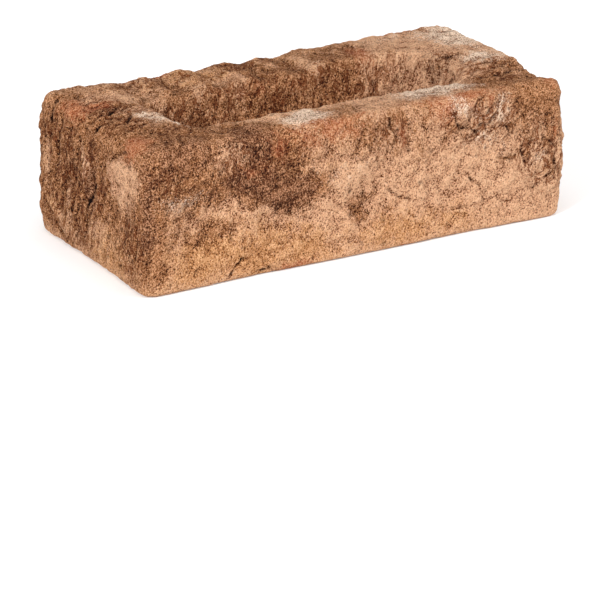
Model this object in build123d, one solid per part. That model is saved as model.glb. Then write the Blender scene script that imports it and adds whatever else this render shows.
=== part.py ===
# Hand-moulded clay facing brick with a frog, lying on its bed with the frog upwards.
# Millimetres, +Z up. The origin is the middle of the bed, +X runs along the two stretchers
# (the long faces) and +Y points from the front stretcher to the back one.
from build123d import *

import os
from math import radians, tan

# Overall size
length = 215.0
width = 102.5
height = 65.0

# Faces: they stand furthest out at the belly, and draw in towards the bed and the rim
belly_height_share = 0.54
bed_tuck = 0.7
rim_tuck = 1.2
stretcher_hollow = 1.5
header_hollow = 1.2
corner_radius = 6.0

# Hollows pressed into the stretchers and the headers (the short faces), as shares of the deepest one.
# Each list runs counter-clockwise along its face, seen from above.
bed_shares = {
    "front": (1.0, 0.7, 0.6, 0.9),
    "right": (0.9, 0.4),
    "back": (0.6, 1.0, 0.5, 0.3),
    "left": (0.2, 0.9),
}
belly_shares = {
    "front": (0.2, 0.5, 0.3, 0.6),
    "right": (0.3, 0.7),
    "back": (0.5, 0.2, 0.6, 0.4),
    "left": (0.8, 0.3),
}
rim_shares = {
    "front": (0.9, 0.4, 0.7, 0.3),
    "right": (0.6, 0.2),
    "back": (0.3, 0.8, 0.4, 0.9),
    "left": (0.6, 0.5),
}

# Arrises, the edges round the bed and the rim
bed_arris_radius = 2.2
rim_arris_radius = 3.6

# Frog, the recess that the mortar keys into: its mouth, its depth and where it sits in the rim
frog_length = 148.0
frog_width = 50.0
frog_depth = 25.0
frog_draft_deg = 14.0
frog_set_left = 2.0
frog_set_forward = 4.25
frog_left_corner_radius = 11.0
frog_right_corner_radius = 20.0
frog_floor_radius = 4.5
frog_lip_radius = 2.4

# Flutes that the moulder's fingers left across the back rim, placed along the length
flute_radius = 9.0
flute_depth = 2.3
flute_turn_deg = 2.0
flute_tilt_deg = 2.5
flute_shares = (0.19, 0.265, 0.36, 0.465, 0.54)

# Chips worn into the right header: a hollow over its rim, and a bite out of its front corner
rim_chip_radius = 28.0
rim_chip_depth = 5.0
rim_chip_tilt_deg = 5.0
rim_chip_from_front = 23.0
corner_chip_radius = 14.0
corner_chip_depth = 2.2
corner_chip_height = 52.0

# Dents from the hands that carried the wet brick. The sizes are those of the largest dent.
dent_breadth = 40.0
dent_depth = 1.4

# Each dent: its face, the shares along and up that face of its middle, and its size as a share of the largest
dent_shares = (
    ("front", 0.14, 0.44, 0.75),
    ("front", 0.33, 0.34, 0.6),
    ("front", 0.54, 0.4, 0.7),
    ("front", 0.72, 0.32, 0.65),
    ("right", 0.3, 0.42, 0.8),
    ("right", 0.72, 0.5, 0.75),
    ("back", 0.18, 0.52, 0.8),
    ("back", 0.46, 0.42, 0.75),
    ("back", 0.77, 0.5, 0.9),
    ("left", 0.24, 0.56, 0.7),
    ("left", 0.74, 0.5, 0.65),
    ("rim", 0.05, 0.66, 0.6),
)

# Creases where the clot of clay folded as it was thrown. The sizes are those of the largest crease.
crease_length = 34.0
crease_depth = 3.0
crease_mouth = 2.6

# Each crease: its face, the shares along and up that face of its middle, its lean in degrees
# and its size as a share of the largest
crease_shares = (
    ("left", 0.47, 0.37, -18, 1.0),
    ("left", 0.88, 0.18, 4, 0.45),
    ("front", 0.58, 0.83, 8, 0.45),
    ("front", 0.77, 0.76, 38, 0.6),
    ("front", 0.85, 0.72, 28, 0.6),
    ("front", 0.92, 0.4, 12, 0.5),
)

# One overrun for all cuts
overrun = 5.0


def side(start, end, inward, hollow, shares):
    """One side of an outline: a spline with hollows along it, tangent to the corners at its ends."""
    start, end = Vector(*start), Vector(*end)
    run = end - start
    steps = len(shares) + 1
    points = [
        start + run * (i / steps) + Vector(*inward) * (hollow * share)
        for i, share in enumerate(shares, 1)
    ]
    return Spline(start, *points, end, tangents=(run, run))


def outline(tuck, shares):
    """The brick's outline at one level, drawn in from the overall size by the tuck."""
    x, y, r = length / 2 - tuck, width / 2 - tuck, corner_radius
    edges = [
        side((-x + r, -y), (x - r, -y), (0, 1), stretcher_hollow, shares["front"]),
        CenterArc((x - r, -y + r), r, 270, 90),
        side((x, -y + r), (x, y - r), (-1, 0), header_hollow, shares["right"]),
        CenterArc((x - r, y - r), r, 0, 90),
        side((x - r, y), (-x + r, y), (0, -1), stretcher_hollow, shares["back"]),
        CenterArc((-x + r, y - r), r, 90, 90),
        side((-x, y - r), (-x, -y + r), (1, 0), header_hollow, shares["left"]),
        CenterArc((-x + r, -y + r), r, 180, 90),
    ]
    return make_face(edges)


def block():
    """The clay as it left the mould, with bellied faces and rounded arrises."""
    levels = (
        (0, bed_tuck, bed_shares),
        (height * belly_height_share, 0, belly_shares),
        (height, rim_tuck, rim_shares),
    )
    clay = loft([Pos(0, 0, z) * outline(tuck, shares) for z, tuck, shares in levels])
    clay = fillet(clay.faces().sort_by(Axis.Z)[-1].edges(), rim_arris_radius)
    return fillet(clay.faces().sort_by(Axis.Z)[0].edges(), bed_arris_radius)


def frog_section(z):
    """The frog's outline at one level: its walls flare outwards, and its right end is the rounder one."""
    grow = (z - height) * tan(radians(frog_draft_deg))
    mouth = Rectangle(frog_length + 2 * grow, frog_width + 2 * grow)
    mouth = fillet(mouth.vertices().sort_by(Axis.X)[:2], frog_left_corner_radius + grow)
    mouth = fillet(mouth.vertices().sort_by(Axis.X)[-2:], frog_right_corner_radius + grow)
    return Pos(0, 0, z) * mouth


def frog():
    """The recess as a solid: a drafted, round-cornered block with a rounded floor, standing past the rim."""
    recess = loft([frog_section(height - frog_depth), frog_section(height + overrun)])
    recess = fillet(recess.faces().sort_by(Axis.Z)[0].edges(), frog_floor_radius)
    return Pos(-frog_set_left, -frog_set_forward, 0) * recess


def frogged(clay):
    """The block with its frog, and the lip round the frog's mouth rounded off."""
    clay -= frog()
    rim = clay.faces().sort_by(Axis.Z)[-1]
    return fillet(rim.inner_wires()[0].edges(), frog_lip_radius)


def flutes():
    """Round-bottomed flutes across the back rim, deepest at the back face and rising towards the frog."""
    flute = Rot(0, 0, flute_turn_deg) * Rot(90 + flute_tilt_deg, 0, 0) * Cylinder(flute_radius, width)
    for share in flute_shares:
        x = length * (share - 0.5)
        yield Pos(x, width / 2, height + flute_radius - flute_depth) * flute


def chips():
    """The hollow worn over the right header's rim, and the bite out of its front corner."""
    hollow = Rot(0, 90 + rim_chip_tilt_deg, 0) * Cylinder(rim_chip_radius, length)
    drop = height + rim_chip_radius - rim_chip_depth
    yield Pos(length / 2, rim_chip_from_front - width / 2, drop) * hollow
    bite = Rot(90, 0, 0) * Cylinder(corner_chip_radius, width)
    corner = Pos(length / 2 - corner_radius, corner_radius - width / 2, corner_chip_height)
    stand_off = corner_radius + corner_chip_radius - corner_chip_depth
    yield corner * Rot(0, 0, -45) * Pos(stand_off, 0, 0) * bite


def on_face(face, along, up, sink):
    """A place at shares along and up a face, sunk below the face's deepest hollow, with Z pointing outwards."""
    x, y = length / 2, width / 2
    corner, x_dir, z_dir, run, rise, hollow = {
        "front": ((-x, -y, 0), (1, 0, 0), (0, -1, 0), length, height, stretcher_hollow),
        "right": ((x, -y, 0), (0, 1, 0), (1, 0, 0), width, height, header_hollow),
        "back": ((x, y, 0), (-1, 0, 0), (0, 1, 0), length, height, stretcher_hollow),
        "left": ((-x, y, 0), (0, -1, 0), (-1, 0, 0), width, height, header_hollow),
        "rim": ((-x, -y, height), (1, 0, 0), (0, 0, 1), length, width, 0),
    }[face]
    return Plane(corner, x_dir=x_dir, z_dir=z_dir).location * Pos(run * along, rise * up, -sink - hollow)


def arc_radius(chord, depth):
    """The radius of the arc that a chord cuts off at a depth."""
    return ((chord / 2) ** 2 + depth**2) / (2 * depth)


def dents():
    """Large spheres that only just reach into the faces."""
    for face, along, up, share in dent_shares:
        depth = dent_depth * share
        radius = arc_radius(dent_breadth * share, depth)
        yield on_face(face, along, up, depth) * Pos(0, 0, radius) * Rot(90, 0, 0) * Sphere(radius)


def fold_creases():
    """V-edged discs sunk into the faces, so that each crease runs out to nothing at its ends."""
    for face, along, up, lean, share in crease_shares:
        depth = crease_depth * share
        radius = arc_radius(crease_length * share, depth)
        flank = radius * crease_mouth / (2 * crease_depth)
        half_disc = Pos(0, 0, flank / 2) * Cone(radius, 0, flank)
        disc = half_disc + mirror(half_disc, Plane.XY)
        yield on_face(face, along, up, depth) * Pos(0, 0, radius) * Rot(0, 0, lean) * Rot(0, 90, 0) * disc


brick = frogged(block())
for cut in (*dents(), *flutes(), *chips(), *fold_creases()):
    brick -= cut

os.makedirs("parts", exist_ok=True)
export_step(brick, "parts/brick.step")
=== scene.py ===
from math import cos, radians, sin

import bmesh
import bpy
import numpy as np
from mathutils import Matrix, Vector, noise


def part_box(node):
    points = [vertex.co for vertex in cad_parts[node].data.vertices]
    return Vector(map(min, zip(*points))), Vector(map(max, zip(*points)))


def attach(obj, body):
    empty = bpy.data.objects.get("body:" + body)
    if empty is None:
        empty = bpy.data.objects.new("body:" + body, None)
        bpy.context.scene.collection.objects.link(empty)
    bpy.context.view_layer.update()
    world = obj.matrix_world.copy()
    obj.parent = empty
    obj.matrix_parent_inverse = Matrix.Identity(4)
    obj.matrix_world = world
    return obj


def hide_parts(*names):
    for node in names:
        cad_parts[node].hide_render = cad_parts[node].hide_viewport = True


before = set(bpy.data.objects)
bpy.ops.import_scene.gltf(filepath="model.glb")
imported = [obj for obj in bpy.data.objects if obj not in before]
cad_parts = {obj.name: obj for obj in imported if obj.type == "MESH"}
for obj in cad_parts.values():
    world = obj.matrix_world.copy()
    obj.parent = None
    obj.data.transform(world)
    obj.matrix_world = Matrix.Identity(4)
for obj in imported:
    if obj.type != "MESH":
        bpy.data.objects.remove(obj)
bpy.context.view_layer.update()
low, high = (np.array(corner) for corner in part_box("brick"))
print("frame loaded, brick", [round(float(side), 4) for side in high - low])


def corner(x, y, z):  # shares of the box
    return low + (high - low) * (x, y, z)


# The frog, as shares of the box
frogPlace = {"left": 0.147, "right": 0.835, "front": 0.214, "back": 0.702, "floor": 0.615}


def frogCorner(side, end, z=frogPlace["floor"]):
    return corner(frogPlace[side], frogPlace[end], z)


# Each face of the brick: the corner it is read from, the end along it and the end up it
faceCorners = {
    "front": (corner(0, 0, 0), corner(1, 0, 0), corner(0, 0, 1)),
    "right": (corner(1, 0, 0), corner(1, 1, 0), corner(1, 0, 1)),
    "back": (corner(1, 1, 0), corner(0, 1, 0), corner(1, 1, 1)),
    "left": (corner(0, 1, 0), corner(0, 0, 0), corner(0, 1, 1)),
    "rim": (corner(0, 0, 1), corner(1, 0, 1), corner(0, 1, 1)),
    "bed": (corner(0, 1, 0), corner(1, 1, 0), corner(0, 0, 0)),
    "frogBack": (frogCorner("left", "back"), frogCorner("right", "back"), frogCorner("left", "back", 1)),
    "frogFloor": (frogCorner("left", "front"), frogCorner("right", "front"), frogCorner("left", "back")),
}


def onFace(points, face):  # metres along the face, up it and into the clay, with the face's own sizes
    start, alongEnd, upEnd = faceCorners[face]
    along, up = alongEnd - start, upEnd - start
    wide, tall = np.linalg.norm(along), np.linalg.norm(up)
    inward = np.cross(up / tall, along / wide)
    apart = points - start
    return apart @ along / wide, apart @ up / tall, apart @ inward, wide, tall


# Noise fields over a list of points
noiseLook = {
    "shift": (17.3, 5.9, 11.1),  # how far one seed lies from the next
    "axisSeed": 0.1,
    "layerSeed": 0.37,
    "layers": 3,
    "octaves": 2,
    "dimension": 1.0,
    "lacunarity": 2.0,
}


def field(points, size, seed, octaves=noiseLook["octaves"]):  # about -1 to 1
    shift = Vector([seed * step for step in noiseLook["shift"]])
    kind = noiseLook["dimension"], noiseLook["lacunarity"], octaves
    return np.array([noise.fractal(Vector(p) + shift, *kind) for p in points / size])


def billow(points, size, seed):  # rounded crests with sharp valleys, zero in the valleys
    layers = range(noiseLook["layers"])
    return sum(np.abs(field(points, size / 2**i, seed + noiseLook["layerSeed"] * i, 1)) / 2**i for i in layers)


def warp(points, bends):
    for size, reach, seed in bends:
        moves = [field(points, size, seed + noiseLook["axisSeed"] * i) for i in range(3)]
        points = points + np.stack(moves, 1) * reach
    return points


def smoothStep(value, start, end):
    t = np.clip((value - start) / (end - start), 0, 1)
    return t * t * (3 - 2 * t)


# The skin: the solid's own shape, meshed evenly so that it can be worn, pressed and pitted. Sizes in metres
skinLook = {
    "voxel": 0.0013,
    "merge": 0.00001,
    "relaxTurns": 4,
    "relaxStep": 0.5,
    "wearTurns": 50,
    "wearReach": 0.020,
    "markReach": 0.012,  # how far into the clay a mark is felt
    "markFall": 1.2,
    "markMost": 0.98,
    "foldReach": 0.016,
    "crackBand": 0.0024,  # the finer mesh lies this near a crack
    "foldBand": 0.4,  # and where a fold is this strong
    "fineFaces": ("left", "front", "rim"),
    "bedRise": 0.008,  # relief grows to its full height over this much of the sides
    "bedRelief": 0.2,  # the share of it on the bed
    "bends": ((0.010, 0.0016, 1), (0.0030, 0.0009, 2)),  # size, reach and seed
    "stainBends": ((0.012, 0.0030, 11), (0.004, 0.0018, 12)),
    "lumps": ((0.040, 0.0004, 4), (0.012, 0.0005, 5)),  # size, height and seed
    "sandSize": 0.0065,
    "sandHeight": 0.0015,
    "sandMiddle": 0.35,
    "sandSeed": 6,
    "sandLost": 0.5,  # the share lost on folds
    "foldSeed": 20,
    "foldRise": 2.6,
    "foldTop": 0.8,
    "foldDrop": 1.0,
    "leastFold": 0.1,
    "foldMeet": 0.5,
    "flowSize": 0.006,
    "breakSize": 0.0045,
    "breakSeed": 3,
    "breakBand": (-0.35, 0.25),
    "breakLeast": 0.6,
    "crackTaper": 6,
    "crackEnd": 0.2,
    "crackCurve": 1.6,
    "crackDark": 0.0020,  # a crack this deep gets its full painted shade, quite dark
    "crestTurns": 2,
    "crestHeight": 0.00016,
    "crestBand": (-1, 1),
    "browTurns": 14,
    "browHeight": 0.0006,
    "browBand": (-1, 0.15),
}


def solidCopy(node):
    bm = bmesh.new()
    bm.from_mesh(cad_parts[node].data)
    bmesh.ops.remove_doubles(bm, verts=bm.verts, dist=skinLook["merge"])
    mesh = bpy.data.meshes.new("sandFacedBrick")
    bm.to_mesh(mesh)
    bm.free()
    piece = bpy.data.objects.new("sandFacedBrick", mesh)
    bpy.context.scene.collection.objects.link(piece)
    return piece


def evenSkin(piece):
    remesh = piece.modifiers.new("evenSkin", "REMESH")
    remesh.mode = "VOXEL"
    remesh.voxel_size = skinLook["voxel"]
    shaped = piece.evaluated_get(bpy.context.evaluated_depsgraph_get())
    mesh = bpy.data.meshes.new_from_object(shaped)
    piece.modifiers.clear()
    piece.data = mesh
    smoothSkin(mesh, skinLook["relaxTurns"], 1.0)


def coordinates(mesh):
    flat = np.empty(len(mesh.vertices) * 3)
    mesh.vertices.foreach_get("co", flat)
    return flat.reshape(-1, 3)


def place(mesh, points):
    points[:, 2] = np.maximum(points[:, 2], low[2])  # the bed stays on the floor
    mesh.vertices.foreach_set("co", points.ravel())
    mesh.update()


def normals(mesh):
    flat = np.empty(len(mesh.vertices) * 3, np.float32)
    mesh.vertex_normals.foreach_get("vector", flat)
    return flat.reshape(-1, 3).astype(float)


def press(mesh, push):  # moves every point along its normal
    place(mesh, coordinates(mesh) + normals(mesh) * push[:, None])


def neighbours(mesh):
    pairs = np.empty(len(mesh.edges) * 2, np.int32)
    mesh.edges.foreach_get("vertices", pairs)
    return pairs.reshape(-1, 2).T


def neighbourMean(mesh, values, turns=1):
    a, b = neighbours(mesh)
    total = len(values)
    count = np.bincount(a, minlength=total) + np.bincount(b, minlength=total)
    for _ in range(turns):
        values = (np.bincount(a, values[b], total) + np.bincount(b, values[a], total)) / count
    return values


def meanPlace(mesh, points, turns=1):
    return np.stack([neighbourMean(mesh, points[:, i], turns) for i in range(3)], 1)


def smoothSkin(mesh, turns, share):
    points = coordinates(mesh)
    for _ in range(turns):
        points += (meanPlace(mesh, points) - points) * np.reshape(skinLook["relaxStep"] * share, (-1, 1))
    place(mesh, points)


def hollowness(mesh, turns):  # above zero in pits and creases, below zero on crests
    points = coordinates(mesh)
    return np.einsum("ij,ij->i", meanPlace(mesh, points, turns) - points, normals(mesh))


def refine(mesh, busy):  # halves the edges where the relief is fine
    bm = bmesh.new()
    bm.from_mesh(mesh)
    bm.verts.ensure_lookup_table()
    edges = [edge for edge in bm.edges if busy[edge.verts[0].index] and busy[edge.verts[1].index]]
    bmesh.ops.subdivide_edges(bm, edges=edges, cuts=1, use_grid_fill=True)
    bm.to_mesh(mesh)
    bm.free()


# Marks: face, shares along and up it, width and height in metres, lean in degrees, strength
def spot(points, face, along, up, wide, tall, lean, strength, reach=skinLook["markReach"]):
    a, b, depth, faceWide, faceTall = onFace(points, face)
    a, b = a - along * faceWide, b - up * faceTall
    turn = radians(lean)
    across, upright = a * cos(turn) + b * sin(turn), b * cos(turn) - a * sin(turn)
    far = (across / wide) ** 2 + (upright / tall) ** 2 + (depth / reach) ** 2
    return strength * np.exp(-far * skinLook["markFall"])


def spots(points, marks, reach=skinLook["markReach"]):
    clear = np.ones(len(points))
    for mark in marks:
        clear *= 1 - np.minimum(spot(points, *mark, reach=reach), skinLook["markMost"])
    return 1 - clear


def crackDistance(points, face, path):  # distance to a line drawn on a face, and how far along it as a share
    a, b, depth, faceWide, faceTall = onFace(points, face)
    at = np.stack([a, b], 1)
    line = np.array(path) * (faceWide, faceTall)
    lengths = np.linalg.norm(np.diff(line, axis=0), axis=1)
    nearest, share = np.full(len(points), np.inf), np.zeros(len(points))
    for i, (start, end) in enumerate(zip(line, line[1:])):
        t = np.clip((at - start) @ (end - start) / lengths[i] ** 2, 0, 1)
        d = np.linalg.norm(at - start - t[:, None] * (end - start), axis=1)
        closer = d < nearest
        nearest[closer] = d[closer]
        share[closer] = (lengths[:i].sum() + t[closer] * lengths[i]) / lengths.sum()
    nearest[np.abs(depth) > skinLook["markReach"]] = np.inf
    return nearest, share


# Arrises worn round, and swellings and dents whose last number is their height in metres
worn = (
    ("front", 0.03, 0.97, 0.020, 0.010, 0, 0.5),
    ("front", 0.24, 1.0, 0.030, 0.006, 0, 0.4),
    ("left", 0.82, 0.97, 0.022, 0.010, 0, 0.5),
    ("left", 0.45, 1.0, 0.035, 0.008, 0, 0.8),
    ("front", 0.96, 0.92, 0.014, 0.010, 0, 0.7),
    ("back", 0.5, 1.0, 0.09, 0.006, 0, 0.7),
    ("back", 0.9, 1.0, 0.03, 0.008, 0, 0.8),
)
swells = (
    ("rim", 0.128, 0.40, 0.012, 0.012, 0, 0.0010),
    ("rim", 0.06, 0.28, 0.016, 0.022, 0, 0.0007),
    ("rim", 0.22, 0.1, 0.016, 0.010, 0, -0.0008),
    ("front", 0.12, 0.75, 0.016, 0.012, 0, 0.0008),
    ("front", 0.44, 0.62, 0.022, 0.012, 0, 0.0008),
    ("front", 0.78, 0.68, 0.020, 0.006, -12, -0.0008),
    ("front", 0.83, 0.88, 0.012, 0.006, 40, 0.0009),
    ("front", 0.72, 0.93, 0.010, 0.005, -35, 0.0008),
    ("front", 0.86, 0.34, 0.034, 0.006, 8, 0.0007),
    ("front", 0.94, 0.45, 0.008, 0.008, 0, 0.0009),
    ("left", 0.80, 0.76, 0.012, 0.010, 30, 0.0009),
    ("left", 0.47, 0.63, 0.005, 0.007, 25, 0.0009),
    ("left", 0.56, 0.36, 0.008, 0.012, 20, 0.0009),
    ("left", 0.20, 0.21, 0.014, 0.003, -23, 0.0010),
    ("back", 0.35, 0.6, 0.03, 0.012, 20, 0.0008),
    ("right", 0.4, 0.5, 0.014, 0.022, 15, 0.0008),
)
# Creases and cracks: face, half width and depth in metres, then points as shares along and up the face
cracks = (
    ("front", 0.0005, 0.0013, ((0.751, 0.44), (0.764, 0.406), (0.781, 0.34), (0.791, 0.275), (0.793, 0.215))),
    ("front", 0.0004, 0.0007, ((0.802, 0.338), (0.795, 0.26), (0.797, 0.17))),
    (
        "front", 0.0005, 0.0008,
        ((0.698, 0.185), (0.735, 0.2), (0.777, 0.215), (0.837, 0.246), (0.93, 0.262), (0.958, 0.292)),
    ),
    ("front", 0.0005, 0.0010, ((0.558, 0.43), (0.572, 0.4), (0.591, 0.37), (0.623, 0.323))),
    (
        "front", 0.0006, 0.0012,
        ((0.563, 0.954), (0.567, 0.892), (0.572, 0.846), (0.586, 0.785), (0.591, 0.754)),
    ),
    ("front", 0.0005, 0.0009, ((0.512, 0.815), (0.516, 0.738), (0.53, 0.692), (0.547, 0.57))),
    ("front", 0.0006, 0.0016, ((0.19, 0.03), (0.205, 0.092), (0.214, 0.123), (0.223, 0.154), (0.235, 0.166))),
    ("front", 0.0005, 0.0011, ((0.107, 0.092), (0.112, 0.123), (0.123, 0.142))),
    ("front", 0.0009, 0.0016, ((0.256, 0.04), (0.268, 0.03), (0.288, 0.05), (0.302, 0.02))),
    ("front", 0.0005, 0.0008, ((0.219, 0.292), (0.233, 0.277), (0.237, 0.262))),
    ("front", 0.0006, 0.0016, ((0.707, 0.923), (0.716, 0.87), (0.726, 0.815), (0.735, 0.777))),
    ("front", 0.0006, 0.0014, ((0.735, 0.777), (0.758, 0.762), (0.781, 0.715))),
    ("front", 0.0006, 0.0015, ((0.767, 0.785), (0.791, 0.77), (0.809, 0.83), (0.828, 0.892))),
    ("front", 0.0006, 0.0014, ((0.842, 0.754), (0.851, 0.692), (0.847, 0.646))),
    ("front", 0.0006, 0.0011, ((0.833, 0.515), (0.851, 0.508), (0.87, 0.492))),
    ("front", 0.0006, 0.0013, ((0.888, 0.585), (0.893, 0.508), (0.902, 0.446))),
    ("front", 0.0005, 0.0012, ((0.905, 0.585), (0.914, 0.523))),
    (
        "front", 0.0006, 0.0013,
        ((0.93, 0.623), (0.953, 0.592), (0.967, 0.523), (0.963, 0.43), (0.949, 0.346), (0.93, 0.308)),
    ),
    ("left", 0.0015, 0.0019, ((0.551, 0.585), (0.537, 0.523), (0.517, 0.477), (0.498, 0.43))),
    (
        "left", 0.0014, 0.0019,
        ((0.556, 0.62), (0.537, 0.55), (0.51, 0.46), (0.463, 0.37), (0.459, 0.292), (0.439, 0.185)),
    ),
    ("left", 0.0009, 0.0015, ((0.917, 0.292), (0.907, 0.238), (0.888, 0.185), (0.878, 0.138))),
    ("left", 0.0006, 0.0014, ((0.429, 0.646), (0.449, 0.708), (0.459, 0.77))),
    ("left", 0.0006, 0.0012, ((0.322, 0.538), (0.351, 0.477))),
    ("left", 0.0006, 0.0011, ((0.683, 0.785), (0.761, 0.885), (0.859, 0.954))),
    ("left", 0.0006, 0.0011, ((0.1, 0.28), (0.13, 0.19), (0.21, 0.1), (0.283, 0.07))),
    ("left", 0.0008, 0.0016, ((0.395, 0.854), (0.405, 0.808))),
    ("rim", 0.0010, 0.0020, ((0.065, 0.4), (0.079, 0.42), (0.093, 0.449), (0.105, 0.463))),
    ("rim", 0.0012, 0.0020, ((0.005, 0.839), (0.021, 0.883))),
    ("rim", 0.0011, 0.0020, ((0.037, 0.556), (0.056, 0.527), (0.074, 0.556), (0.088, 0.595), (0.079, 0.644))),
    ("rim", 0.0012, 0.0018, ((0.121, 0.488), (0.135, 0.465))),
    ("rim", 0.0010, 0.0016, ((0.06, 0.30), (0.075, 0.33), (0.085, 0.32))),
    ("rim", 0.0012, 0.0018, ((0.012, 0.50), (0.02, 0.46), (0.035, 0.44))),
    ("rim", 0.0010, 0.0011, ((0.79, 0.34), (0.8, 0.43), (0.814, 0.517), (0.828, 0.576))),
    ("rim", 0.0011, 0.0026, ((0.84, 0.556), (0.865, 0.537), (0.884, 0.556))),
    ("rim", 0.0011, 0.0014, ((0.89, 0.36), (0.916, 0.38), (0.953, 0.39), (0.985, 0.42))),
    ("rim", 0.0010, 0.0013, ((0.89, 0.27), (0.94, 0.3), (0.975, 0.34))),
    ("back", 0.0007, 0.0016, ((0.2, 0.75), (0.23, 0.62), (0.22, 0.5), (0.26, 0.42))),
    ("back", 0.0006, 0.0011, ((0.52, 0.2), (0.6, 0.24), (0.68, 0.22), (0.74, 0.27))),
    ("back", 0.0008, 0.0018, ((0.83, 0.7), (0.85, 0.58), (0.84, 0.5))),
    ("right", 0.0008, 0.0020, ((0.6, 0.72), (0.56, 0.6), (0.57, 0.48), (0.52, 0.36))),
    ("right", 0.0006, 0.0011, ((0.2, 0.3), (0.3, 0.27), (0.4, 0.2))),
)
foldPatches = (  # a mark, then the lean of its folds, their spacing, stretch and depth
    ("left", 0.36, 0.55, 0.042, 0.036, 0, 1.0, 72, 0.0065, 4.0, 0.0014),
    ("left", 0.85, 0.35, 0.018, 0.024, 0, 0.8, 80, 0.0055, 3.4, 0.0010),
    ("front", 0.78, 0.82, 0.024, 0.012, 0, 1.0, 44, 0.0055, 2.6, 0.0013),
    ("front", 0.94, 0.5, 0.016, 0.020, 0, 1.0, 78, 0.0050, 2.2, 0.0011),
    ("front", 0.24, 0.82, 0.040, 0.014, 0, 0.7, 84, 0.0045, 2.6, 0.0005),
    ("front", 0.07, 0.76, 0.022, 0.014, 0, 0.7, 64, 0.0050, 2.0, 0.0004),
    ("rim", 0.10, 0.20, 0.024, 0.018, 0, 0.8, 60, 0.0055, 2.2, 0.0007),
    ("front", 0.56, 0.84, 0.014, 0.012, 0, 0.7, 100, 0.0045, 2.4, 0.0005),
    ("rim", 0.07, 0.5, 0.018, 0.040, 0, 1.0, 28, 0.0060, 1.8, 0.0009),
    ("rim", 0.90, 0.33, 0.020, 0.018, 0, 1.0, 14, 0.0060, 3.0, 0.0009),
    ("rim", 0.84, 0.5, 0.016, 0.014, 0, 1.0, 40, 0.0050, 1.4, 0.0012),
    ("rim", 0.72, 0.12, 0.040, 0.010, 0, 0.5, 6, 0.0040, 3.0, 0.0004),
    ("rim", 0.33, 0.85, 0.065, 0.018, 0, 1.0, 84, 0.0060, 3.0, 0.0006),
    ("back", 0.3, 0.5, 0.06, 0.032, 0, 1.0, 50, 0.0065, 2.4, 0.0008),
    ("back", 0.8, 0.5, 0.04, 0.030, 0, 1.0, 118, 0.0060, 2.4, 0.0008),
    ("right", 0.5, 0.5, 0.045, 0.036, 0, 1.0, 74, 0.0060, 2.4, 0.0008),
    ("frogBack", 0.45, 0.5, 0.085, 0.030, 0, 1.0, 86, 0.0060, 4.0, 0.0004),
)


def folds(points, patch, seed):  # how much of the patch shows, and places along its lapped clay
    *mark, lean, spacing, stretch, depth = patch
    a, b, inward, *_ = onFace(points, mark[0])
    turn = radians(lean)
    along, across = a * cos(turn) + b * sin(turn), b * cos(turn) - a * sin(turn)
    laid = np.stack([across / spacing, along / (spacing * stretch), inward / spacing], 1)
    return spot(points, *mark, reach=skinLook["foldReach"]), laid + seed, depth


def busyPlaces(points):  # where cracks and folds need a finer mesh
    busy = np.zeros(len(points), bool)
    for face, _, _, path in cracks:
        busy |= crackDistance(points, face, path)[0] < skinLook["crackBand"]
    for *mark, _, _, _, _ in foldPatches:
        if mark[0] in skinLook["fineFaces"]:
            busy |= spot(points, *mark) > skinLook["foldBand"]
    return busy


def layFolds(push, bent):  # adds the folds to the push, and says where the clay is lapped and how it flows
    flow = bent / skinLook["flowSize"]
    strongest = np.full(len(bent), skinLook["leastFold"])
    second = strongest.copy()
    for seed, patch in enumerate(foldPatches, skinLook["foldSeed"]):
        share, laid, depth = folds(bent, patch, seed)
        crest = np.minimum(billow(laid, 1.0, seed), skinLook["foldTop"])
        push += depth * share * (skinLook["foldRise"] * crest - skinLook["foldDrop"])
        stronger = share > strongest
        flow[stronger] = laid[stronger]
        second = np.maximum(second, np.minimum(share, strongest))
        strongest = np.maximum(strongest, share)
    lapped = smoothStep(strongest - second, 0.0, skinLook["foldMeet"])  # none where two patches meet
    return lapped, flow


def openCracks(push, rest, bent):  # takes the cracks from the push, and says how much painted shade each place in them gets
    broken = smoothStep(field(rest, skinLook["breakSize"], skinLook["breakSeed"]), *skinLook["breakBand"])
    whole = skinLook["breakLeast"] + (1 - skinLook["breakLeast"]) * broken  # cracks come and go
    crevice = np.zeros(len(rest))
    for face, half, depth, path in cracks:
        far, share = crackDistance(bent, face, path)
        ends = np.minimum(share, 1 - share) * skinLook["crackTaper"] + skinLook["crackEnd"]
        taper = np.clip(ends, 0, 1) * whole
        groove = np.exp(-((far / half) ** skinLook["crackCurve"])) * taper
        push -= depth * groove
        crevice = np.maximum(crevice, groove * min(depth / skinLook["crackDark"], 1.0))
    return crevice


def shapeSkin(piece):
    mesh = piece.data
    smoothSkin(mesh, skinLook["wearTurns"], spots(coordinates(mesh), worn, skinLook["wearReach"]))
    refine(mesh, busyPlaces(coordinates(mesh)))
    print("skin refined to", sum(len(face.vertices) - 2 for face in mesh.polygons), "triangles")
    rest = coordinates(mesh)
    bent = warp(rest, skinLook["bends"])
    aboveBed = smoothStep(rest[:, 2], 0.0, skinLook["bedRise"])  # the bed is struck off flat
    rough = skinLook["bedRelief"] + (1 - skinLook["bedRelief"]) * aboveBed
    push = sum(height * field(rest, size, seed) for size, height, seed in skinLook["lumps"]) * rough
    for swell in swells:
        push += spot(bent, *swell)
    lapped, flow = layFolds(push, bent)
    sand = billow(bent, skinLook["sandSize"], skinLook["sandSeed"]) - skinLook["sandMiddle"]
    push += skinLook["sandHeight"] * sand * rough * (1 - skinLook["sandLost"] * lapped)
    crevice = openCracks(push, rest, bent)
    press(mesh, push)
    return rest, {"crevice": crevice, "lapped": lapped, "flow": flow}


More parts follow.
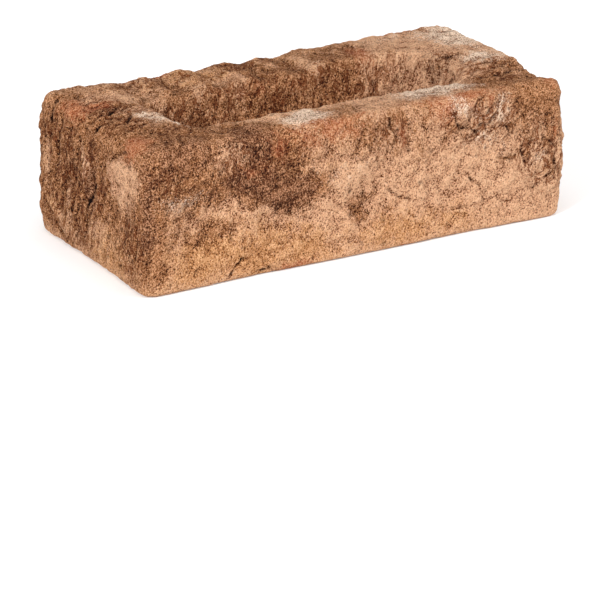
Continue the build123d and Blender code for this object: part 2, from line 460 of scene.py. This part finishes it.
# Stains: brown from the kiln, its black cores, a pale bloom, rust where the sand is worn off, and ochre sand
soot = (
    ("front", 0.155, 0.66, 0.009, 0.007, 20, 0.85),
    ("front", 0.205, 0.70, 0.012, 0.007, -30, 0.65),
    ("front", 0.25, 0.61, 0.014, 0.009, -30, 0.95),
    ("front", 0.30, 0.55, 0.014, 0.009, -15, 0.94),
    ("front", 0.355, 0.54, 0.013, 0.011, 15, 0.93),
    ("front", 0.325, 0.46, 0.009, 0.006, 0, 0.35),
    ("front", 0.265, 0.83, 0.014, 0.012, 0, 0.93),
    ("front", 0.275, 0.95, 0.012, 0.009, 0, 0.93),
    ("front", 0.335, 0.86, 0.005, 0.011, 0, 0.8),
    ("front", 0.31, 0.74, 0.011, 0.009, 0, 0.75),
    ("front", 0.395, 0.56, 0.007, 0.006, 0, 0.65),
    ("front", 0.38, 0.80, 0.012, 0.014, 0, 0.2),
    ("front", 0.06, 0.92, 0.018, 0.009, 0, 0.55),
    ("front", 0.09, 0.86, 0.034, 0.016, 0, 0.95),
    ("front", 0.10, 0.94, 0.040, 0.010, 0, 0.97),
    ("front", 0.04, 0.45, 0.016, 0.020, 0, 0.45),
    ("front", 0.03, 0.70, 0.014, 0.014, 0, 0.35),
    ("left", 0.88, 0.92, 0.014, 0.010, 0, 0.85),
    ("front", 0.40, 0.95, 0.016, 0.008, 0, 0.55),
    ("front", 0.48, 0.80, 0.022, 0.014, 0, 0.2),
    ("front", 0.66, 0.92, 0.040, 0.009, 0, 0.3),
    ("front", 0.64, 0.80, 0.020, 0.014, 0, 0.45),
    ("front", 0.50, 0.76, 0.008, 0.010, 0, 0.4),
    ("front", 0.88, 0.72, 0.014, 0.010, 0, 0.3),
    ("front", 0.47, 0.97, 0.030, 0.008, 0, 0.45),
    ("front", 0.68, 0.97, 0.036, 0.006, 0, 0.4),
    ("front", 0.90, 1.0, 0.030, 0.007, 0, 0.8),
    ("front", 0.13, 0.95, 0.014, 0.006, 0, 0.5),
    ("front", 0.10, 0.72, 0.012, 0.007, 10, 0.3),
    # darker down the near upright arris
    ("front", 0.012, 0.65, 0.006, 0.026, 0, 0.95),
    ("front", 0.016, 0.56, 0.005, 0.016, 0, 0.95),
    ("front", 0.01, 0.3, 0.004, 0.020, 0, 0.6),
    ("front", 0.116, 0.55, 0.008, 0.004, 0, 0.35),
    ("front", 0.13, 0.40, 0.008, 0.005, 10, 0.85),
    ("front", 0.121, 0.335, 0.005, 0.004, 30, 0.85),
    ("front", 0.186, 0.385, 0.006, 0.004, 0, 0.8),
    ("front", 0.023, 0.246, 0.005, 0.004, 0, 0.85),
    ("front", 0.042, 0.17, 0.006, 0.004, -15, 0.9),
    ("front", 0.484, 0.41, 0.010, 0.007, 0, 0.62),
    ("front", 0.498, 0.30, 0.006, 0.006, 0, 0.8),
    ("front", 0.526, 0.415, 0.005, 0.003, 0, 0.7),
    ("front", 0.563, 0.292, 0.005, 0.003, 0, 0.7),
    ("front", 0.45, 0.88, 0.022, 0.012, 0, 0.25),
    ("front", 0.526, 0.80, 0.006, 0.006, 0, 0.25),
    ("front", 0.725, 0.83, 0.003, 0.007, 20, 0.6),
    ("front", 0.758, 0.76, 0.012, 0.004, -10, 0.4),
    ("front", 0.765, 0.66, 0.014, 0.006, -10, 0.45),
    ("front", 0.61, 0.68, 0.016, 0.012, 0, 0.3),
    ("front", 0.96, 0.97, 0.012, 0.008, 0, 0.9),
    ("front", 0.80, 0.80, 0.007, 0.004, 45, 0.2),
    ("front", 0.847, 0.73, 0.004, 0.007, 0, 0.4),
    ("front", 0.87, 0.93, 0.012, 0.008, 0, 0.4),
    ("front", 0.935, 0.88, 0.016, 0.014, 0, 0.5),
    ("front", 0.965, 0.70, 0.010, 0.010, 0, 0.55),
    ("front", 0.953, 0.55, 0.005, 0.009, 0, 0.55),
    ("front", 0.898, 0.508, 0.004, 0.009, 0, 0.55),
    ("front", 0.851, 0.508, 0.008, 0.003, -5, 0.55),
    ("front", 0.958, 0.36, 0.008, 0.005, 20, 0.6),
    ("left", 0.16, 0.70, 0.034, 0.030, 0, 0.8),
    ("left", 0.14, 0.45, 0.024, 0.020, 0, 0.7),
    ("left", 0.38, 0.80, 0.034, 0.024, 0, 0.8),
    ("left", 0.36, 0.46, 0.026, 0.024, 0, 0.7),
    ("left", 0.60, 0.80, 0.018, 0.022, 15, 0.9),
    ("left", 0.54, 0.50, 0.018, 0.020, 0, 0.7),
    ("left", 0.20, 0.16, 0.024, 0.012, -15, 0.55),
    ("left", 0.44, 0.20, 0.012, 0.014, 0, 0.6),
    ("left", 0.66, 0.44, 0.012, 0.020, 0, 0.5),
    ("left", 0.82, 0.36, 0.014, 0.014, 0, 0.55),
    ("left", 0.90, 0.60, 0.010, 0.010, 0, 0.75),
    ("left", 0.90, 0.20, 0.010, 0.012, 0, 0.35),
    ("left", 0.985, 0.60, 0.004, 0.024, 0, 0.6),
    ("left", 0.80, 0.95, 0.030, 0.008, 0, 0.97),
    ("rim", 0.233, 0.09, 0.012, 0.016, 0, 0.97),
    ("rim", 0.09, 0.10, 0.024, 0.018, 0, 0.97),
    ("rim", 0.10, 0.30, 0.022, 0.014, 0, 0.4),
    ("rim", 0.15, 0.05, 0.016, 0.012, 0, 0.95),
    ("front", 0.05, 0.98, 0.022, 0.007, 0, 0.9),
    ("rim", 0.04, 0.40, 0.014, 0.018, 0, 0.6),
    ("rim", 0.065, 0.55, 0.016, 0.010, 10, 0.6),
    ("rim", 0.12, 0.60, 0.014, 0.007, 0, 0.65),
    ("rim", 0.172, 0.80, 0.006, 0.020, 0, 0.92),
    ("rim", 0.265, 0.84, 0.008, 0.018, 0, 0.85),
    ("rim", 0.45, 0.82, 0.020, 0.020, 0, 0.75),
    ("rim", 0.54, 0.84, 0.012, 0.018, 0, 0.85),
    ("rim", 0.64, 0.82, 0.016, 0.020, 0, 0.6),
    ("rim", 0.03, 0.82, 0.012, 0.014, 0, 0.5),
    ("rim", 0.079, 0.80, 0.007, 0.005, 0, 0.75),
    ("rim", 0.11, 0.93, 0.012, 0.005, 0, 0.75),
    ("rim", 0.865, 0.54, 0.009, 0.005, 15, 0.75),
    ("rim", 0.805, 0.45, 0.003, 0.014, -20, 0.5),
    ("rim", 0.71, 0.86, 0.010, 0.012, 0, 0.6),
    ("rim", 0.90, 0.20, 0.026, 0.014, 6, 0.95),
    ("rim", 0.96, 0.14, 0.014, 0.016, 0, 0.9),
    ("rim", 0.81, 0.12, 0.010, 0.010, 0, 0.7),
    ("rim", 0.47, 0.15, 0.022, 0.010, 0, 0.5),
    ("rim", 0.93, 0.36, 0.014, 0.006, 5, 0.5),
    ("rim", 0.99, 0.72, 0.006, 0.010, 0, 0.7),
    ("rim", 0.907, 0.95, 0.014, 0.004, 8, 0.7),
    # darker over the left of the frog's back wall
    ("frogBack", 0.30, 0.5, 0.075, 0.032, 0, 0.72),
    ("frogBack", 0.70, 0.5, 0.026, 0.030, 0, 0.75),
    ("frogBack", 0.48, 0.4, 0.016, 0.016, 0, 0.8),
    ("frogBack", 0.95, 0.4, 0.012, 0.016, 0, 0.15),
    ("frogFloor", 0.2, 0.5, 0.026, 0.014, 10, 0.7),
    ("frogFloor", 0.55, 0.7, 0.034, 0.012, -8, 0.75),
    ("frogFloor", 0.82, 0.35, 0.014, 0.012, 0, 0.65),
    ("back", 0.25, 0.7, 0.034, 0.018, 15, 0.95),
    ("back", 0.34, 0.5, 0.016, 0.012, -20, 0.9),
    ("back", 0.7, 0.88, 0.06, 0.012, -3, 0.85),
    ("back", 0.55, 0.3, 0.010, 0.008, 0, 0.85),
    ("back", 0.92, 0.45, 0.018, 0.022, 0, 0.85),
    ("right", 0.35, 0.78, 0.03, 0.016, -10, 0.9),
    ("right", 0.8, 0.45, 0.016, 0.02, 0, 0.8),
    ("bed", 0.20, 0.35, 0.034, 0.014, 25, 0.65),
    ("bed", 0.32, 0.50, 0.020, 0.012, -10, 0.55),
    ("bed", 0.62, 0.18, 0.050, 0.010, 8, 0.6),
    ("bed", 0.80, 0.64, 0.034, 0.014, -18, 0.65),
    ("bed", 0.50, 0.84, 0.044, 0.010, -5, 0.55),
    ("bed", 0.05, 0.75, 0.012, 0.022, 0, 0.65),
)
black = (
    ("front", 0.225, 0.68, 0.012, 0.007, -30, 0.9),
    ("front", 0.27, 0.60, 0.013, 0.008, -20, 0.95),
    ("front", 0.32, 0.57, 0.012, 0.008, 0, 0.9),
    ("front", 0.36, 0.55, 0.011, 0.010, 15, 0.95),
    ("front", 0.335, 0.46, 0.007, 0.005, 0, 0.6),
    ("front", 0.484, 0.42, 0.007, 0.005, 0, 0.6),
    ("front", 0.07, 0.88, 0.028, 0.012, 0, 0.5),
    ("front", 0.04, 0.80, 0.010, 0.008, 0, 0.15),
    # blacker down the near upright arris
    ("front", 0.014, 0.60, 0.004, 0.013, 0, 0.97),
    ("front", 0.010, 0.40, 0.003, 0.010, 0, 0.6),
    ("rim", 0.95, 0.08, 0.016, 0.008, 0, 0.5),
    ("left", 0.30, 0.62, 0.018, 0.016, 0, 0.5),
    ("front", 0.15, 0.65, 0.005, 0.004, 0, 0.8),
    ("front", 0.268, 0.90, 0.007, 0.012, 0, 0.9),
    ("front", 0.315, 0.82, 0.003, 0.010, 0, 0.6),
    ("rim", 0.245, 0.06, 0.009, 0.012, 0, 0.9),
    ("rim", 0.10, 0.05, 0.030, 0.012, 0, 0.6),
    ("rim", 0.865, 0.537, 0.006, 0.004, 15, 0.95),
    ("rim", 0.075, 0.55, 0.010, 0.004, 10, 0.8),
    ("left", 0.53, 0.50, 0.005, 0.012, 20, 0.9),
    ("back", 0.24, 0.72, 0.012, 0.008, 0, 0.8),
)
bloom = (
    ("front", 0.45, 0.62, 0.020, 0.012, 0, 0.35),
    ("front", 0.75, 0.50, 0.050, 0.026, 0, 0.2),
    ("front", 0.80, 0.66, 0.014, 0.007, -10, 0.3),
    ("front", 0.735, 0.93, 0.012, 0.006, -30, 0.55),
    ("front", 0.825, 0.87, 0.009, 0.006, 40, 0.65),
    ("front", 0.93, 0.46, 0.008, 0.007, 0, 0.4),
    ("front", 0.08, 0.61, 0.014, 0.007, 0, 0.5),
    ("rim", 0.80, 0.88, 0.030, 0.012, 0, 0.4),
    ("left", 0.64, 0.20, 0.014, 0.010, 0, 0.35),
    ("rim", 0.386, 0.11, 0.016, 0.010, 0, 0.97),
    ("rim", 0.688, 0.15, 0.022, 0.009, 0, 0.97),
    ("rim", 0.77, 0.17, 0.014, 0.008, 0, 0.9),
    ("rim", 0.535, 0.10, 0.018, 0.008, 0, 0.2),
    ("rim", 0.153, 0.29, 0.003, 0.012, 0, 0.95),
    ("rim", 0.121, 0.40, 0.008, 0.009, 0, 0.8),
    ("rim", 0.92, 0.45, 0.014, 0.008, 0, 0.9),
    ("rim", 0.95, 0.78, 0.016, 0.024, 0, 0.85),
    ("back", 0.45, 0.75, 0.016, 0.010, 30, 0.8),
    ("right", 0.6, 0.7, 0.014, 0.010, 0, 0.8),
    ("bed", 0.45, 0.34, 0.034, 0.012, 15, 0.5),
    ("bed", 0.92, 0.30, 0.014, 0.020, 0, 0.5),
)
rust = (
    ("rim", 0.023, 0.70, 0.009, 0.014, 0, 0.95),
    ("rim", 0.065, 0.65, 0.012, 0.004, 10, 0.85),
    ("rim", 0.019, 0.14, 0.010, 0.012, 0, 0.9),
    ("rim", 0.71, 0.76, 0.009, 0.012, 0, 0.9),
    ("rim", 0.465, 0.673, 0.05, 0.003, 0, 0.75),
    ("rim", 0.26, 0.95, 0.012, 0.005, 0, 0.8),
    ("rim", 0.967, 0.05, 0.008, 0.006, 0, 0.8),
    ("rim", 0.74, 0.03, 0.030, 0.004, 0, 0.9),
    ("rim", 0.40, 0.03, 0.040, 0.004, 0, 0.65),
    ("rim", 0.86, 0.95, 0.020, 0.004, 0, 0.7),
    ("front", 0.35, 0.02, 0.016, 0.004, 0, 0.9),
    ("front", 0.61, 0.02, 0.008, 0.003, 0, 0.8),
    ("front", 0.31, 0.84, 0.006, 0.007, 0, 0.7),
    ("front", 0.592, 0.80, 0.003, 0.007, 0, 0.85),
    ("front", 0.24, 0.76, 0.012, 0.006, -20, 0.6),
    ("front", 0.43, 0.88, 0.020, 0.009, 0, 0.5),
    ("front", 0.70, 0.86, 0.012, 0.008, 0, 0.45),
    ("front", 0.97, 0.62, 0.005, 0.014, 0, 0.6),
    ("left", 0.02, 0.3, 0.005, 0.014, 0, 0.7),
    ("back", 0.6, 0.55, 0.03, 0.012, 20, 0.75),
    ("right", 0.2, 0.3, 0.016, 0.012, 0, 0.75),
    ("bed", 0.66, 0.46, 0.020, 0.010, 30, 0.6),
)
ochre = (
    ("front", 0.12, 0.22, 0.050, 0.028, 0, 0.9),
    ("front", 0.36, 0.14, 0.050, 0.016, 0, 0.8),
    ("front", 0.62, 0.12, 0.050, 0.010, 0, 0.6),
    ("left", 0.75, 0.2, 0.040, 0.030, 0, 0.8),
    ("left", 0.1, 0.3, 0.030, 0.040, 0, 0.7),
    ("rim", 0.4, 0.84, 0.090, 0.020, 0, 0.8),
    ("frogBack", 0.86, 0.5, 0.030, 0.030, 0, 0.5),
    ("frogFloor", 0.4, 0.4, 0.040, 0.016, 0, 0.8),
    ("back", 0.4, 0.2, 0.06, 0.02, 0, 0.8),
    ("right", 0.5, 0.2, 0.03, 0.02, 0, 0.8),
    ("bed", 0.5, 0.5, 0.08, 0.03, 0, 0.7),
)
bare = (  # clear of the kiln's brown
    ("left", 0.84, 0.76, 0.014, 0.010, 20, 0.85),
    ("left", 0.91, 0.58, 0.006, 0.014, 0, 0.1),
    ("left", 0.468, 0.63, 0.005, 0.006, 30, 0.8),
    ("left", 0.60, 0.17, 0.016, 0.012, 0, 0.8),
    ("left", 0.20, 0.21, 0.014, 0.0035, -23, 0.95),
    ("left", 0.46, 0.70, 0.009, 0.003, -47, 0.8),
    ("left", 0.10, 0.50, 0.004, 0.016, 10, 0.8),
    ("left", 0.30, 0.34, 0.003, 0.014, 15, 0.7),
    ("rim", 0.13, 0.77, 0.014, 0.012, 0, 0.7),
    ("rim", 0.29, 0.86, 0.004, 0.018, 12, 0.9),
    ("rim", 0.35, 0.86, 0.004, 0.018, 12, 0.95),
    ("rim", 0.388, 0.84, 0.004, 0.020, 12, 0.95),
    ("rim", 0.495, 0.88, 0.004, 0.014, 12, 0.8),
    ("rim", 0.57, 0.84, 0.004, 0.020, 12, 0.95),
    ("front", 0.20, 0.88, 0.011, 0.007, 0, 0.85),
    ("front", 0.285, 0.44, 0.010, 0.006, 0, 0.9),
    ("frogBack", 0.95, 0.5, 0.018, 0.022, 0, 0.9),
    ("left", 0.74, 0.69, 0.008, 0.010, 0, 0.8),
)
stains = {"soot": soot, "black": black, "bloom": bloom, "rust": rust, "ochre": ochre}


def keepAttribute(mesh, name, values):
    kind, key = ("FLOAT", "value") if values.ndim == 1 else ("FLOAT_VECTOR", "vector")
    mesh.attributes.new(name, kind, "POINT").data.foreach_set(key, values.astype(np.float32).ravel())


def stainSkin(mesh, rest, relief):
    ragged = warp(rest, skinLook["stainBends"])
    for name, marks in stains.items():
        covered = 1 - spots(ragged, bare) if name == "soot" else 1
        keepAttribute(mesh, name, spots(ragged, marks) * covered)
    for name, values in relief.items():
        keepAttribute(mesh, name, values)
    for name in ("crest", "brow"):  # fine crests, and broad ones, for painted shade: darker in the hollows, paler on the crests, partly worn sand and partly painted highlight
        raised = -neighbourMean(mesh, hollowness(mesh, skinLook[name + "Turns"]))
        keepAttribute(mesh, name, np.clip(raised / skinLook[name + "Height"], *skinLook[name + "Band"]))


# Sand-faced clay, each shade from its darkest grains to its lightest
def paint(red, green, blue):  # colours are written as they show, 0 to 255
    share = np.array([red, green, blue]) / 255
    linear = np.where(share > 0.04045, ((share + 0.055) / 1.055) ** 2.4, share / 12.92)  # the sRGB curve
    return (*linear.tolist(), 1.0)


clayLook = {
    "grain": 2400.0,  # cells to the metre
    "pit": 170.0,
    "crumb": (1600.0, 3.0, 0.65),  # noise: its scale, detail and roughness
    "fray": (330.0, 6.0, 0.8),
    "mottle": (120.0, 4.0, 0.6),
    "wave": (1.0, 4.0, 0.6),
    "crinkle": (170.0, 5.0, 0.62),
    "crinklePatch": (60.0, 3.0, 0.6),
    "stainNoise": (4.0, 0.6),  # detail and roughness
    "drag": (0.0, 0.26, 0.0),  # the mould drew the sand upwards: lean of its strokes, and their stretch
    "dragStretch": (1.0, 1.0, 1.6),
    "frayNoise": 1.1,  # weights
    "frayGrain": 0.3,
    "toneGrain": 0.85,
    "crumbToneAndShade": 3.0,
    "toneMottle": 0.35,
    "crestShadeAndWear": 0.17,
    "browShadeAndWear": 0.24,
    "waveFray": 0.06,
    "crackFray": 0.5,
    "pitFray": 0.25,
    "pitWidth": 0.3,
    "pitShade": 0.6,
    "crestRise": 5.0,
    "waveEdges": (0.05, 0.0),  # masks: where they start, and where they are full
    "crinkleEdges": (0.02, 0.0),
    "patchEdges": (0.0, 0.2),
    "crackEdges": (0.3, 0.75),
    "pitEdges": (0.55, 1.0),
    "hazeBefore": 0.25,
    "hazeAfter": 0.15,
    "stainMasks": {  # lowest first: start, end, scale and weight of the noise, share of haze
        "ochre": (0.3, 0.9, 26.0, 1.6, 0.0),
        "soot": (0.40, 0.62, 110.0, 0.9, 0.5),
        "black": (0.42, 0.66, 140.0, 0.8, 0.0),
        "rust": (0.4, 0.8, 120.0, 0.5, 0.0),
        "bloom": (0.35, 0.7, 120.0, 0.5, 0.0),
    },
    "grainRelief": 0.0004,  # heights in metres
    "crumbRelief": 0.0015,
    "crinkleRelief": 0.0012,
    "foldRelief": 0.0022,
    "crackRelief": 0.0010,
    "roughness": 0.95,
    "shine": 0.12,
    "grainPlaces": (0.04, 0.26, 0.5, 0.75, 0.97),
    "clean": ((94, 46, 20), (206, 152, 116), (216, 165, 128), (221, 172, 135), (237, 193, 156)),
    "ochre": ((80, 36, 13), (175, 116, 71), (194, 137, 89), (206, 150, 102), (233, 182, 136)),
    "soot": ((36, 11, 2), (118, 69, 38), (150, 98, 61), (172, 117, 79), (215, 161, 119)),
    "black": ((34, 12, 3), (84, 47, 25), (118, 73, 46), (144, 94, 64), (200, 148, 112)),
    "bloom": ((104, 60, 36), (210, 171, 141), (236, 204, 177), (246, 217, 192), (254, 232, 209)),
    "rust": ((100, 43, 21), (158, 87, 53), (178, 104, 68), (192, 124, 87), (212, 156, 115)),
    "paintedFoldShade": (166, 132, 108),  # painted shade: darkens the clay in its folds
    "paintedRecessShade": (84, 56, 42),  # and painted shade in its cracks and pits
}


def addNode(tree, kind, inputs=None, **options):
    made = tree.nodes.new("ShaderNode" + kind)
    for name, value in options.items():
        setattr(made, name, value)
    for name, value in (inputs or {}).items():
        if isinstance(value, bpy.types.NodeSocket):
            tree.links.new(value, made.inputs[name])
        else:
            made.inputs[name].default_value = value
    return made


def reckon(tree, operation, a, b=0.0):
    return addNode(tree, "Math", {0: a, 1: b}, operation=operation).outputs[0]


def mixColour(tree, share, under, over, way="MIX"):
    return addNode(tree, "Mix", {0: share, 6: under, 7: over}, data_type="RGBA", blend_type=way).outputs[2]


def mask(tree, value, start, end):
    edges = {"Value": value, "From Min": start, "From Max": end}
    return addNode(tree, "MapRange", edges, interpolation_type="SMOOTHSTEP").outputs["Result"]


def shades(tree, value, name):  # the grains' colours in one stain
    made = addNode(tree, "ValToRGB", {"Fac": value})
    stops = made.color_ramp.elements
    places, tones = clayLook["grainPlaces"], clayLook[name]
    for stop, at in zip((stops[0], stops[1]), (0, -1)):
        stop.position, stop.color = places[at], paint(*tones[at])
    for at, tone in zip(places[1:-1], tones[1:-1]):
        stops.new(at).color = paint(*tone)
    return made.outputs["Color"]


def sandFacedClay():
    material = bpy.data.materials.new("sandFacedClay")
    material.use_nodes = True
    tree = material.node_tree
    surface = tree.nodes["Principled BSDF"]
    where = addNode(tree, "TexCoord").outputs["Object"]
    strokes = {"Vector": where, "Rotation": clayLook["drag"], "Scale": clayLook["dragStretch"]}
    dragged = addNode(tree, "Mapping", strokes, vector_type="TEXTURE").outputs["Vector"]

    def attribute(name, kind="Fac"):
        return addNode(tree, "Attribute", attribute_name=name).outputs[kind]

    def add(a, b):
        return reckon(tree, "ADD", a, b)

    def times(a, b):
        return reckon(tree, "MULTIPLY", a, b)

    def less(a, b):
        return reckon(tree, "SUBTRACT", a, b)

    def weighed(value, name):
        return times(value, clayLook[name])

    def cloud(look, vector=where):  # about -0.5 to 0.5
        scale, detail, rough = look
        inputs = {"Vector": vector, "Scale": scale, "Detail": detail, "Roughness": rough}
        made = addNode(tree, "TexNoise", inputs)
        return less(made.outputs["Fac"], 0.5)

    def cells(scale):  # the distance from each cell's middle, and chances for each cell
        made = addNode(tree, "TexVoronoi", {"Vector": where, "Scale": scale})
        chances = addNode(tree, "SeparateColor", {"Color": made.outputs["Color"]})
        return made.outputs["Distance"], chances.outputs

    grainDistance, grainChances = cells(clayLook["grain"])
    crumbs = cloud(clayLook["crumb"], dragged)
    frayed = weighed(cloud(clayLook["fray"], dragged), "frayNoise")
    fray = add(frayed, weighed(less(grainChances[1], 0.5), "frayGrain"))
    # the crumbs' noise, which also raises the bump, paints shade: darker in its hollows, paler on its heights
    tone = add(weighed(less(grainChances[0], 0.5), "toneGrain"), weighed(crumbs, "crumbToneAndShade"))
    tone = add(tone, add(weighed(cloud(clayLook["mottle"]), "toneMottle"), 0.5))
    # painted shade from the skin's hollows: darker in them, paler on crests, partly worn sand
    tone = add(tone, add(weighed(attribute("crest"), "crestShadeAndWear"), weighed(attribute("brow"), "browShadeAndWear")))

    lapped = attribute("lapped")
    wave = reckon(tree, "ABSOLUTE", cloud(clayLook["wave"], attribute("flow", "Vector")))
    crinkle = reckon(tree, "ABSOLUTE", cloud(clayLook["crinkle"], dragged))
    crinkled = mask(tree, crinkle, *clayLook["crinkleEdges"])
    patches = mask(tree, cloud(clayLook["crinklePatch"]), *clayLook["patchEdges"])
    folded = mask(tree, add(wave, weighed(fray, "waveFray")), *clayLook["waveEdges"])
    valleyShadeMask = add(times(lapped, folded), times(crinkled, patches))
    crack = mask(tree, add(attribute("crevice"), weighed(fray, "crackFray")), *clayLook["crackEdges"])
    pitDistance, pitChances = cells(clayLook["pit"])
    pitWidth = weighed(mask(tree, pitChances[0], *clayLook["pitEdges"]), "pitWidth")
    pit = mask(tree, add(pitDistance, weighed(fray, "pitFray")), pitWidth, 0.0)

    def stained(under, name):
        start, end, scale, weight, haze = clayLook["stainMasks"][name]
        clouds = times(cloud((scale, *clayLook["stainNoise"]), dragged), weight)
        reach = add(add(attribute(name), fray), clouds)
        hazy = mask(tree, reach, start - clayLook["hazeBefore"], end + clayLook["hazeAfter"])
        share = add(times(mask(tree, reach, start, end), 1 - haze), times(hazy, haze))
        return mixColour(tree, share, under, shades(tree, tone, name))

    def darkened(under, share, name):
        return mixColour(tree, share, under, paint(*clayLook[name]), "MULTIPLY")

    colour = shades(tree, tone, "clean")
    for name in clayLook["stainMasks"]:
        colour = stained(colour, name)
    # painted shade: the clay darker in the valleys of its folds and crinkles
    colour = darkened(colour, valleyShadeMask, "paintedFoldShade")
    # painted shade in the pits and cracks
    colour = darkened(colour, weighed(pit, "pitShade"), "paintedRecessShade")
    colour = darkened(colour, crack, "paintedRecessShade")
    tree.links.new(colour, surface.inputs["Base Color"])

    def crests(valleys):  # rounded ridges between sharp valleys
        return reckon(tree, "MINIMUM", weighed(valleys, "crestRise"), 1.0)

    relief = add(weighed(less(1.0, grainDistance), "grainRelief"), weighed(crumbs, "crumbRelief"))
    relief = add(relief, weighed(times(lapped, crests(wave)), "foldRelief"))
    relief = add(relief, weighed(crests(crinkle), "crinkleRelief"))
    relief = less(relief, weighed(add(crack, pit), "crackRelief"))
    bump = addNode(tree, "Bump", {"Strength": 1.0, "Distance": 1.0, "Height": relief})
    tree.links.new(bump.outputs["Normal"], surface.inputs["Normal"])
    surface.inputs["Roughness"].default_value = clayLook["roughness"]
    surface.inputs["Specular IOR Level"].default_value = clayLook["shine"]
    return material


def makeBrick():
    piece = solidCopy("brick")
    evenSkin(piece)
    print("even skin", len(piece.data.polygons), "faces")
    rest, relief = shapeSkin(piece)
    stainSkin(piece.data, rest, relief)
    piece.data.shade_smooth()
    piece.data.materials.clear()
    piece.data.materials.append(sandFacedClay())
    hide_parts("brick")
    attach(piece, "root")
    print("brick shaped and stained")


# The studio: a pale floor, soft lamps and the camera
studio = {
    "floorSide": 12.0,
    "floorTone": (247, 247, 247),
    "floorGlow": 0.09,
    "skyStrength": 0.44,
    "azimuth": -30.988,
    "elevation": 21.882,
    "roll": 0.628,
    "distance": 1.36365,
    "aim": (-0.00022, 0.0, -0.03874),
    "lens": 179.1,  # millimetres, as is the sensor
    "sensor": 36.0,
}
lamps = {  # azimuth, elevation, distance, side and watts
    "key": (46, 28, 1.6, 0.22, 15.4),
    "fill": (-64, 27, 1.8, 0.4, 28.0),
    "crown": (-20, 80, 1.6, 1.0, 7.5),
}


def away(azimuth, elevation):  # from the brick, in degrees
    a, e = radians(azimuth), radians(elevation)
    return Vector((sin(a) * cos(e), -cos(a) * cos(e), sin(e)))


def makeFloor():
    bm = bmesh.new()
    bmesh.ops.create_grid(bm, x_segments=1, y_segments=1, size=studio["floorSide"] / 2)
    mesh = bpy.data.meshes.new("paleFloor")
    bm.to_mesh(mesh)
    bm.free()
    floor = bpy.data.objects.new("paleFloor", mesh)
    bpy.context.scene.collection.objects.link(floor)
    material = bpy.data.materials.new("paleFloor")
    material.use_nodes = True
    surface = material.node_tree.nodes["Principled BSDF"]
    surface.inputs["Base Color"].default_value = paint(*studio["floorTone"])
    surface.inputs["Roughness"].default_value = 1.0
    surface.inputs["Specular IOR Level"].default_value = 0.0
    surface.inputs["Emission Color"].default_value = (1.0, 1.0, 1.0, 1.0)
    seen = addNode(material.node_tree, "LightPath").outputs["Is Camera Ray"]  # paler to the camera only
    glow = reckon(material.node_tree, "MULTIPLY", seen, studio["floorGlow"])
    material.node_tree.links.new(glow, surface.inputs["Emission Strength"])
    mesh.materials.append(material)


def makeLamps():
    for name, (azimuth, elevation, distance, side, power) in lamps.items():
        light = bpy.data.lights.new(name, "AREA")
        light.size = side
        light.energy = power
        lamp = bpy.data.objects.new(name, light)
        towards = away(azimuth, elevation)
        lamp.location = towards * distance
        lamp.rotation_euler = towards.to_track_quat("Z", "Y").to_euler()
        bpy.context.scene.collection.objects.link(lamp)
    world = bpy.data.worlds.new("paleRoom")
    world.use_nodes = True
    sky = world.node_tree.nodes["Background"]
    sky.inputs["Color"].default_value = (1.0, 1.0, 1.0, 1.0)
    sky.inputs["Strength"].default_value = studio["skyStrength"]
    bpy.context.scene.world = world


def makeCamera():
    lens = bpy.data.cameras.new("camera")
    lens.lens = studio["lens"]
    lens.sensor_width = studio["sensor"]
    camera = bpy.data.objects.new("camera", lens)
    back = away(studio["azimuth"], studio["elevation"])
    turn = back.to_track_quat("Z", "Y").to_matrix() @ Matrix.Rotation(radians(studio["roll"]), 3, "Z")
    eye = Vector(studio["aim"]) + back * studio["distance"]
    camera.matrix_world = Matrix.Translation(eye) @ turn.to_4x4()
    bpy.context.scene.collection.objects.link(camera)
    bpy.context.scene.camera = camera


makeBrick()
makeFloor()
makeLamps()
makeCamera()
bpy.context.scene.view_settings.view_transform = "Standard"
print("studio ready")
